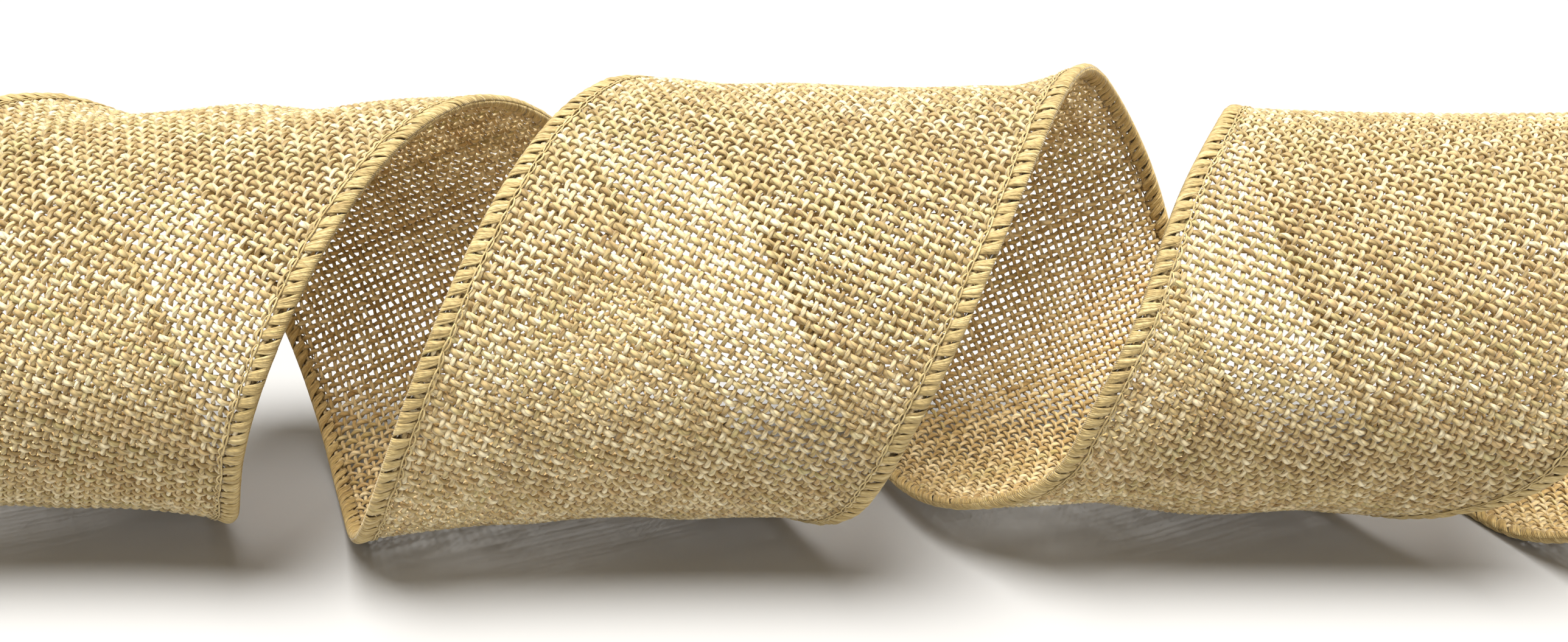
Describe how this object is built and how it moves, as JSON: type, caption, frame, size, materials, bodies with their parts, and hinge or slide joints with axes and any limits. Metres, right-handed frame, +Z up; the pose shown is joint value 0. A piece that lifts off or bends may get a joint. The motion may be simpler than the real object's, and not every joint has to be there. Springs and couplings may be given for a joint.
{
  "type": "wired edge woven ribbon",
  "caption": "Open-weave burlap-style ribbon with overlocked wired edges, lying as an open left-handed coil on its side.",
  "frame": {"origin": "centre of the coil's bounding box on the floor plane it rests on", "axes": "+X along the coil's axis, -Y towards the side that faces the viewer, +Z up"},
  "size_m": [0.388, 0.0684, 0.0714],
  "materials": {
    "woven_web": "matte faux jute yarn",
    "edge_wire": "plain drawn wire",
    "overlock_thread": "soft spun thread with a slight sheen"
  },
  "bodies": {
    "root": {"woven_web": "woven_web", "left_edge_wire": "edge_wire", "right_edge_wire": "edge_wire", "left_needle_thread": "overlock_thread", "left_upper_looper_thread": "overlock_thread", "left_lower_looper_thread": "overlock_thread", "right_needle_thread": "overlock_thread", "right_upper_looper_thread": "overlock_thread", "right_lower_looper_thread": "overlock_thread"}
  },
  "joints": []
}
